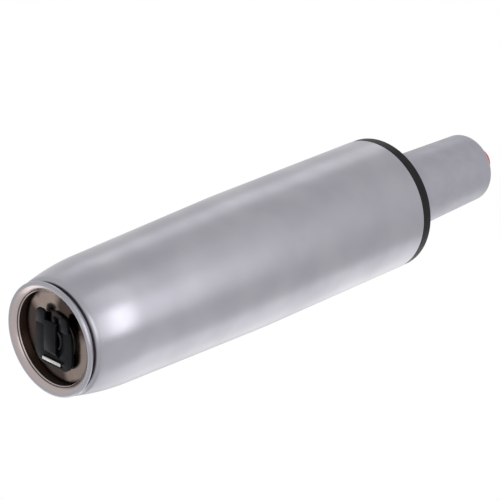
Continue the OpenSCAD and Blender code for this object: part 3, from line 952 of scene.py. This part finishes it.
    def shell_outline(self) -> Outline:
        """Closed outline of the column as (radius, height).

        Returns:
            The points from the plate's seat round the lip, up the outside and down the bore.
        """
        lip = self.lip_outline()
        neck = lip[-1][0]
        shoulder = 2 * self.bead_radius - self.bead_flat + self.groove_width
        corner_z = shoulder + self.corner_radius
        centre_r, centre_z = self.end_centre()
        reach = self.end_curve_radius - self.corner_radius
        corner_r = centre_r + math.sqrt(reach ** 2 - (corner_z - centre_z) ** 2)
        tilt = math.degrees(math.asin((centre_z - corner_z) / reach))
        meet_z = corner_z - self.corner_radius * math.sin(math.radians(tilt))
        steps = 16
        heights = [meet_z + (self.end_curve_top - meet_z) * i / steps for i in range(1, steps + 1)]
        top_r, rebate = self.outer_d / 2, self.length - self.skirt
        foot, knee = self.cone_foot, self.taper_length - self.taper_knee
        rings = (self.taper_length + self.taper_knee, self.straight_ring,
                 rebate - self.top_round_from)
        outside = ([(neck + out, shoulder + up) for out, up in self.groove_fillet]
                   + arc(corner_r, corner_z, self.corner_radius, -90, -tilt, 12)
                   + [(self.curve_r(z), z) for z in heights]
                   + ramp_line((self.taper_r(foot), foot), (self.taper_r(knee), knee), 4)
                   + [(top_r, z) for z in rings]
                   + arc(top_r - self.top_round, rebate - self.top_round, self.top_round, 0, 90, 5))
        step_r, bore = top_r - self.skirt_wall - self.rebate_gap, top_r - self.wall
        seat_top = level("base_plate", top=True) + self.seat_rise
        cone_end = seat_top + self.wall
        inside = [(step_r, rebate), (step_r, self.length), (bore, self.length),
                  (bore, self.taper_length),
                  (self.taper_r(self.end_curve_top) - self.wall, self.end_curve_top),
                  (self.curve_r(cone_end) - self.wall, cone_end),
                  (self.seat_r, seat_top), (self.seat_r, level("base_plate"))]
        return lip + outside + inside

    def build_shell(self) -> bpy.types.Object:
        """The column itself."""
        return piece(turned(self.shell_outline(), 256), "column_shell", Body.COLUMN,
                     ["column_tube"])

    def build_plate(self) -> bpy.types.Object:
        """The plate behind the bead, with its hole and the pocket for the bearing.

        Returns:
            The plate.
        """
        low, high, floor = level("base_plate"), level("base_plate", top=True), level("lower_race")
        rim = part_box("base_plate")[1].x / MM
        gap, lower, upper = self.plate_hole_gap, self.plate_edge_low, self.plate_edge_high
        hole = foot_radius("piston_rod") + gap
        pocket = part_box("lower_race")[1].x / MM + self.pocket_gap
        outline = [(hole + gap, low), (rim - lower, low), (rim, low + lower), (rim, high - upper),
                   (rim - upper, high), (pocket, high), (pocket, floor), (hole, floor),
                   (hole, low + gap)]
        return piece(turned(outline), "glossy_plate", Body.COLUMN, ["base_plate"])

    def build_guide(self) -> bpy.types.Object:
        """The plastic guide: flange, sleeve, outer shell and the ribs between them.

        Returns:
            The guide.
        """
        bore = self.tube_d / 2 + self.running_gap
        sleeve = bore + self.sleeve_wall
        shell = self.outer_d / 2 - self.wall - self.shell_gap
        low, base, top = self.length - self.bushing_length, self.length, self.length + self.flange
        rim, web = self.outer_d / 2 - self.flange_set_in, base - self.web_drop
        inner, seat, skirt_r = shell - self.shell_wall, base + self.shell_gap, rim - self.skirt_wall
        skirt, chamfer = base - self.skirt + self.skirt_gap, self.skirt_chamfer
        (side, rise), lead, edge = self.shell_lead, self.sleeve_lead, self.wiper_edge
        wiper = top + self.wiper
        outline = ([(bore, low + lead), (bore + lead, low), (sleeve, low), (sleeve, web),
                    (inner, web), (inner, low), (shell - side, low), (shell, low + rise),
                    (shell, seat), (skirt_r, seat), (skirt_r, skirt),
                    (rim - chamfer, skirt), (rim, skirt + chamfer)]
                   + arc(rim - self.flange_round, top - self.flange_round, self.flange_round, 0, 90)
                   + [(sleeve, top), (bore + self.wiper, wiper), (bore + edge, wiper),
                      (bore, wiper - edge)])
        parts = [turned(outline)]
        start, end = sleeve - self.rib_bite, inner + self.rib_bite
        size = Vector((end - start, self.rib, self.bushing_length - self.rib_shorter)) * MM
        middle = Vector(((start + end) / 2, 0, (low + base - self.rib_drop) / 2)) * MM
        for number in range(self.ribs):
            rib = bmesh.new()
            bmesh.ops.create_cube(rib, size=1.0)
            bmesh.ops.scale(rib, verts=rib.verts, vec=size)
            bmesh.ops.translate(rib, verts=rib.verts, vec=middle)
            round_edges(rib, self.rib_round)
            turn_about_axis(rib, TURN * number / self.ribs)
            settle(rib)
            parts.append(rib)
        return piece(join(parts), "guide_sleeve", Body.COLUMN, ["guide_bushing"])

    def build(self) -> None:
        """Builds and dresses the column's pieces."""
        SATIN_CHROME.dress(self.build_shell())
        BROWN_PLATE.dress(self.build_plate())
        GUIDE_PLASTIC.dress(self.build_guide())
        BEARING_STEEL.dress_nodes("lower_race")


@dataclass
class ThrustBearing:
    """The ball bearing that carries the rod on the base plate.

    Attributes:
        cage: CAD node of the cage.
        balls: CAD node of the balls.
    """

    cage: str = "ball_cage"
    balls: str = "bearing_balls"

    def build(self) -> None:
        """Dresses the cage and its balls."""
        NATURAL_PLASTIC.dress_nodes(self.cage)
        BEARING_STEEL.dress_nodes(self.balls)


@dataclass
class RodGroup:
    """The piston rod with what it carries below and above.

    The fields are sizes of the clip and its washer. The clip's own +x points to its closed end. The
    side views of its tongue and tab are points as (x, height), where a root's heights are above the
    clip's lower face, and an end's are above the clip's lowest point.
    """

    clip_width: float = 18.0
    clip_back: float = 10.8
    clip_front: float = 9.4
    clip_thickness: float = 1.0
    clip_play: float = 0.05
    clip_corner: float = 0.55
    clip_round: float = 0.14
    clip_crease: float = 40.0
    clip_turn: float = 34.0
    prong_width: float = 14.6
    prong_corner: float = 1.1
    prong_taper: float = 5.0
    slot_r: float = 3.55
    crank: Point = (0.6, 0.7)
    crank_lap: float = 0.4
    tongue_width: float = 5.6
    tongue_root: Sequence[Point] = ((6.6, 0.5), (6.6, 0.0))
    tongue_end: Sequence[Point] = ((4.4, 0.0), (-5.4, 0.0), (-6.4, 0.5), (-6.4, 1.38),
                                   (-5.4, 0.88), (4.4, 0.88))
    tab_width: float = 9.0
    tab_root: Sequence[Point] = ((8.2, 0.0), (8.2, 0.5), (7.3, 0.5), (7.3, 0.0))
    tab_end: Sequence[Point] = ((7.8, 0.8), (8.9, 0.8))
    tab_bare: float = 0.2
    tab_bare_facing: float = -0.5
    window_margin: float = 1.2
    washer_r: float = 9.2
    washer_hole: float = 4.7
    washer_edges: tuple[float, float, float] = (0.15, 0.35, 0.25)

    def clip_outline(self, from_x: float, to_x: float) -> Outline:
        """Outline of the clip's flat part between two distances along it.

        Args:
            from_x: where the outline starts, towards the prongs.
            to_x: the closed end.

        Returns:
            The points as (x, y), anticlockwise.
        """
        half = self.clip_width / 2
        corner = half * self.clip_corner
        narrow, wide_x = (half + self.prong_width / 2) / 2, from_x + self.prong_taper
        return ([(from_x, -narrow), (wide_x, -half)]
                + arc(to_x - corner, corner - half, corner, -90, 0)
                + arc(to_x - corner, half - corner, corner, 0, 90)
                + [(wide_x, half), (from_x, narrow), (from_x, self.slot_r)]
                + arc(0, 0, self.slot_r, 90, -90, 16) + [(from_x, -self.slot_r)])

    def prong(self, side: int, low: float, high: float, start: float) -> Mesh:
        """One cranked end of the clip.

        Args:
            side: 1 or -1, on which side of the slot.
            low: height of its lower face.
            high: height of its upper face.
            start: where the crank begins.

        Returns:
            The closed mesh.
        """
        half, narrow, corner = self.clip_width / 2, self.prong_width / 2, self.prong_corner
        end_x = corner - self.clip_front
        outline = [(start, self.slot_r), (start, (half + narrow) / 2), (end_x, narrow)]
        outline += arc(end_x, narrow - corner, corner, 90, 180, 6)[1:]
        outline += arc(end_x, self.slot_r + corner, corner, 180, 270, 6)
        outline = [(x, side * y) for x, y in outline]
        return stamped([outline if side < 0 else outline[::-1]], low, high)

    def build_clip(self) -> bpy.types.Object:
        """The spring clip: flat part with its window, cranked prongs, raised tongue and tab.

        Returns:
            The clip.
        """
        bottom, top = level("retaining_clip"), level("clip_washer") - self.clip_play
        low, (step, drop) = top - self.clip_thickness, self.crank
        crank_x, half = -self.slot_r - step, self.tab_width / 2
        near, far = self.tab_root[0][0], self.clip_back - self.window_margin
        window = [(near, -half), (far, -half), (far, half), (near, half)]
        flat = self.clip_outline(crank_x - self.crank_lap, self.clip_back)
        parts = [stamped([flat, window], low, top)]
        parts += [self.prong(side, low - drop, top - drop, crank_x) for side in (-1, 1)]
        for root, end, width in ((self.tongue_root, self.tongue_end, self.tongue_width),
                                 (self.tab_root, self.tab_end, self.tab_width)):
            side_view = [(x, low + z) for x, z in root] + [(x, bottom + z) for x, z in end]
            parts.append(strip(side_view, width))
        for part in parts:
            round_edges(part, self.clip_round)
            settle(part, self.clip_crease)
            part.faces.layers.float.new("bare_and_groove_shade")
        tab = parts[-1]
        bare_and_groove_shade = tab.faces.layers.float["bare_and_groove_shade"]
        bare_to = (bottom + self.tab_end[0][1] + self.tab_bare) * MM
        for face in tab.faces:
            facing, height = face.normal.z, face.calc_center_median().z
            sheared = facing < self.tab_bare_facing and height < bare_to
            face[bare_and_groove_shade] = 1.0 if sheared else 0.0
        clip = join(parts)
        turn_about_axis(clip, math.radians(self.clip_turn))
        return piece(clip, "spring_clip", Body.ROD, ["retaining_clip"])

    def build_washer(self) -> bpy.types.Object:
        """The washer between the plate and the clip, with softly rolled edges.

        Returns:
            The washer.
        """
        low, high = level("clip_washer"), level("clip_washer", top=True)
        hole, (inner, lower, upper) = self.washer_hole, self.washer_edges
        outline = ([(hole, low + inner), (hole + inner, low)]
                   + arc(self.washer_r - lower, low + lower, lower, -90, 0, 5)
                   + arc(self.washer_r - upper, high - upper, upper, 0, 90, 4) + [(hole, high)])
        return piece(turned(outline, 128), "rod_washer", Body.ROD, ["clip_washer"])

    def build(self) -> None:
        """Builds and dresses everything on the rod."""
        SPRING_STEEL.dress(self.build_clip())
        # The washer's finish paints shade under the clip and highlight arcs on its edges
        WASHER_SHADE_AND_GLINT.dress(self.build_washer())
        WASHER_STEEL.dress_nodes("bumper_washer", "piston_washer", "piston_nut")
        ROD_STEEL.dress_nodes("piston_rod")
        BEARING_STEEL.dress_nodes("upper_race")
        BLACK_RUBBER.dress_nodes("rubber_bumper", "piston_ring")
        TURNED_ALLOY.dress_nodes("piston")


@dataclass
class GasCylinder:
    """The gas cylinder with its guide, seals, inner tube and valve.

    The fields are sizes of its outer tube. Its taper starts and ends with a slight blend, between
    rings that lie so far below its start, above its start and below the rounded end.
    """

    outer_d: float = 28.0
    wall: float = 2.2
    taper_length: float = 34.0
    taper_ratio: float = 20.0
    taper_blend: float = 0.02
    opening_d: float = 17.0
    opening_edge: float = 0.3
    opening_round: float = 0.4
    end_lip: float = 2.2
    end_round: float = 1.5
    seat_round: float = 2.6
    low_ring: float = 10.0
    taper_rings: tuple[float, float, float] = (2.0, 1.5, 1.0)

    def build_tube(self) -> bpy.types.Object:
        """The pressure tube with its rolled-in ends.

        Returns:
            The tube.
        """
        low, top = level("pressure_tube"), level("pressure_tube", top=True)
        r = self.outer_d / 2
        bore, opening = r - self.wall, self.opening_d / 2
        end_r = r - self.taper_length / (2 * self.taper_ratio)
        taper, blend, rolled = top - self.taper_length, self.taper_blend, self.seat_round
        below, above, end = self.taper_rings
        outline = ([(opening + self.opening_edge, low)]
                   + arc(r - self.end_round, low + self.end_round, self.end_round, -90, 0)
                   + ramp_line((r, low + self.low_ring), (r, taper - below), 4)
                   + [(r - blend, taper + above), (end_r + blend, top - rolled - end)]
                   + arc(end_r - rolled, top - rolled, rolled, 0, 90, 12)
                   + arc(opening + self.opening_round, top - self.opening_round,
                         self.opening_round, 90, 180, 4)
                   + [(opening, top - self.end_lip), (bore, top - self.end_lip),
                      (bore, low + self.end_lip), (opening, low + self.end_lip),
                      (opening, low + self.opening_edge)])
        return piece(turned(outline), "grey_cylinder", Body.CYLINDER,
                     ["pressure_tube"])

    def build(self) -> None:
        """Builds the tube and dresses what it holds."""
        GREY_COAT.dress(self.build_tube())
        GUIDE_PLASTIC.dress_nodes("rod_guide")
        BLACK_RUBBER.dress_nodes("rod_seal", "spigot_o_ring", "body_o_rings", "pin_seal")
        WASHER_STEEL.dress_nodes("seal_washer")
        NATURAL_PLASTIC.dress_nodes("centring_ring", "stroke_spacer", "pin_seal_bush")
        DRAWN_STEEL.dress_nodes("inner_tube")
        TURNED_BRASS.dress_nodes("valve_body")


@dataclass
class Release:
    """The release pin and the button on it.

    The dish in the button's top is given by how far its rim and the foot of its slope lie in from
    the rounded edge, and by how deep it is there and in the middle.
    """

    radius: float = 5.2
    edge: float = 0.4
    dish: tuple[float, float, float, float] = (0.4, 0.9, 0.15, 0.25)
    pin_r: float = 2.03
    cap: float = 4.0
    proud: float = 1.0

    def build_button(self) -> bpy.types.Object:
        """The button with a shallow dish in its top.

        Returns:
            The button.
        """
        low, top = level("release_button"), level("release_button", top=True) + self.proud
        cap, edge, shoulder = top - self.cap, self.edge, self.radius - self.edge
        rim, slope, drop, depth = self.dish
        outline = ([(0, cap), (self.pin_r, cap), (self.pin_r, low), (shoulder, low),
                    (self.radius, low + edge)] + arc(shoulder, top - edge, edge, 0, 90, 10)
                   + [(shoulder - rim, top), (shoulder - slope, top - drop), (0, top - depth)])
        return piece(turned(outline, 128, closed=False), "red_button", Body.RELEASE,
                     ["release_button"])

    def build(self) -> None:
        """Builds the button and dresses the pin."""
        RED_PLASTIC.dress(self.build_button())
        BEARING_STEEL.dress_nodes("release_pin")


@dataclass(frozen=True)
class Softbox:
    """A studio lamp that shines on the lift.

    Attributes:
        name: name of the lamp.
        azimuth: direction it shines from, in degrees from -Y towards +X.
        elevation: its height in degrees above the horizon.
        distance: distance from the aim in metres.
        width: width of the panel in metres.
        height: height of the panel in metres.
        radiance: brightness of the panel, where 1 is white.
    """

    name: str
    azimuth: float
    elevation: float
    distance: float
    width: float
    height: float
    radiance: float

    def build(self, aim: Vector) -> None:
        """Hangs the lamp and points it.

        Args:
            aim: the point that it shines at, in metres.
        """
        a, e = math.radians(self.azimuth), math.radians(self.elevation)
        away = Vector((math.sin(a) * math.cos(e), -math.cos(a) * math.cos(e), math.sin(e)))
        data = bpy.data.lights.new(self.name, "AREA")
        data.shape = "RECTANGLE"
        data.size, data.size_y = self.width, self.height
        data.energy = self.radiance * math.pi * self.width * self.height
        lamp = show(self.name, data)
        turn = away.to_track_quat("Z", "Y").to_matrix().to_4x4()
        lamp.matrix_world = Matrix.Translation(aim + away * self.distance) @ turn
        lamp.visible_camera = False


@dataclass
class Studio:
    """Floor, world, lamps and camera.

    The floor's sizes and the lamps' aim are in metres, and the camera's focal length is in pixels
    of the photograph. The lift's origin is given along the camera's axes right, down and away.
    """

    floor_size: float = 12.0
    floor_drop: float = 0.0001
    floor_fade: Point = (0.35, 2.2)
    cloth: tuple[Colour, Colour] = ((0.86, 0.86, 0.865), (0.84, 0.84, 0.845))
    cloth_grain: float = 60.0
    cloth_roughness: float = 0.7
    cloth_specular: float = 0.2
    fill: float = 0.55
    fill_blue: float = 1.02
    aim: tuple[float, float, float] = (0.0, 0.0, 0.015)
    lamps: list[Softbox] = field(default_factory=lambda: [
        Softbox("front_box", 13.0, 24.2, 0.75, 0.47, 0.06, 8.5),
        Softbox("front_sheet", -4.0, 28.5, 0.8, 1.15, 0.30, 0.75),
        Softbox("right_box", 119.0, 40.0, 0.9, 0.78, 0.5, 0.62),
        Softbox("side_sheet", 84.0, 27.0, 0.9, 1.2, 0.34, 0.30),
        Softbox("left_box", -100.0, 40.0, 0.9, 0.28, 0.5, 0.6),
        Softbox("low_box", 10.0, -25.0, 1.1, 0.7, 1.1, 1.5),
        Softbox("back_box", 160.0, -10.0, 1.0, 0.9, 0.6, 1.4),
    ])
    focal_px: float = 2658.27
    sensor_mm: float = 36.0
    view_range: Point = (0.01, 50.0)
    origin_mm: tuple[float, float, float] = (-66.946, 29.988, 882.562)
    right: tuple[float, float, float] = (0.38198, -0.61574, 0.68917)
    down: tuple[float, float, float] = (0.92417, 0.2545, -0.28485)
    away: tuple[float, float, float] = (0.0, 0.74571, 0.66627)

    def build_world(self) -> None:
        """A white surround, at a lower level for the light that it sheds."""
        world = bpy.data.worlds.new("studio")
        bpy.context.scene.world = world
        world.use_nodes = True
        board = Board(world.node_tree)
        path = board.add("LightPath").outputs
        seen = path["Is Camera Ray"]
        for ray in ("Is Glossy Ray", "Is Transmission Ray"):
            seen = board.math("MAXIMUM", seen, path[ray])
        shed = (self.fill, self.fill, self.fill * self.fill_blue)
        colour = board.mix(seen, shed, (1.0, 1.0, 1.0))
        back = board.add("Background", {"Color": colour, "Strength": 1.0})
        board.add("OutputWorld", {0: back.outputs[0]})

    def floor_material(self) -> bpy.types.Material:
        """Pale cloth that runs out into white and is clear from below.

        Returns:
            The material.
        """
        made = bpy.data.materials.new("pale_floor")
        made.use_nodes = True
        board = Board(made.node_tree)
        place = board.place()
        far = board.spread(board.vector("LENGTH", place), *self.floor_fade)
        speck = board.spread(board.noise(place, self.cloth_grain, detail=3.0), *NOISE_RANGE)
        cloth = board.add("BsdfPrincipled", {
            "Base Color": board.mix(speck, *self.cloth), "Roughness": self.cloth_roughness,
            "Specular IOR Level": self.cloth_specular})
        white = board.add("Emission", {"Color": (1.0, 1.0, 1.0, 1.0), "Strength": 1.0})
        fade = board.add("MixShader", {0: far, 1: cloth.outputs[0], 2: white.outputs[0]})
        clear = board.add("BsdfTransparent")
        under = board.add("NewGeometry").outputs["Backfacing"]
        whole = board.add("MixShader", {0: under, 1: fade.outputs[0], 2: clear.outputs[0]})
        board.add("OutputMaterial", {0: whole.outputs[0]})
        return made

    def build_floor(self) -> None:
        """The floor, which is there for the camera alone."""
        mesh = bmesh.new()
        bmesh.ops.create_grid(mesh, x_segments=8, y_segments=8, size=self.floor_size / 2)
        bmesh.ops.translate(mesh, verts=mesh.verts, vec=(0, 0, -self.floor_drop))
        floor = show_mesh("floor", mesh)
        floor.data.materials.append(self.floor_material())
        for ray in ("shadow", "glossy", "diffuse", "transmission"):
            setattr(floor, "visible_" + ray, False)

    def build_camera(self) -> None:
        """The camera at the photograph's viewing angle, fitted to the outline of the lift."""
        data = bpy.data.cameras.new("camera")
        data.sensor_width = self.sensor_mm
        data.lens = data.sensor_width * self.focal_px / IMAGE_SIDE
        data.clip_start, data.clip_end = self.view_range
        camera = show("camera", data)
        right, down, away = Vector(self.right), Vector(self.down), Vector(self.away)
        x, y, z = self.origin_mm
        eye = -(right * x + down * y + away * z) * MM
        turn = Matrix((right, -down, -away)).transposed()
        camera.matrix_world = Matrix.Translation(eye) @ turn.to_4x4()
        bpy.context.scene.camera = camera

    def build(self) -> None:
        """Sets up the whole studio."""
        self.build_world()
        self.build_floor()
        for lamp in self.lamps:
            lamp.build(Vector(self.aim))
        self.build_camera()
        bpy.context.scene.view_settings.view_transform = "Standard"


def main() -> None:
    logging.basicConfig(level=logging.INFO, format="%(message)s")
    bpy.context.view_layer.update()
    for group in (Column(), ThrustBearing(), RodGroup(), GasCylinder(), Release()):
        LOG.info("building %s", type(group).__name__)
        group.build()
    Studio().build()
    bpy.context.view_layer.update()


if __name__ == "__main__":
    main()
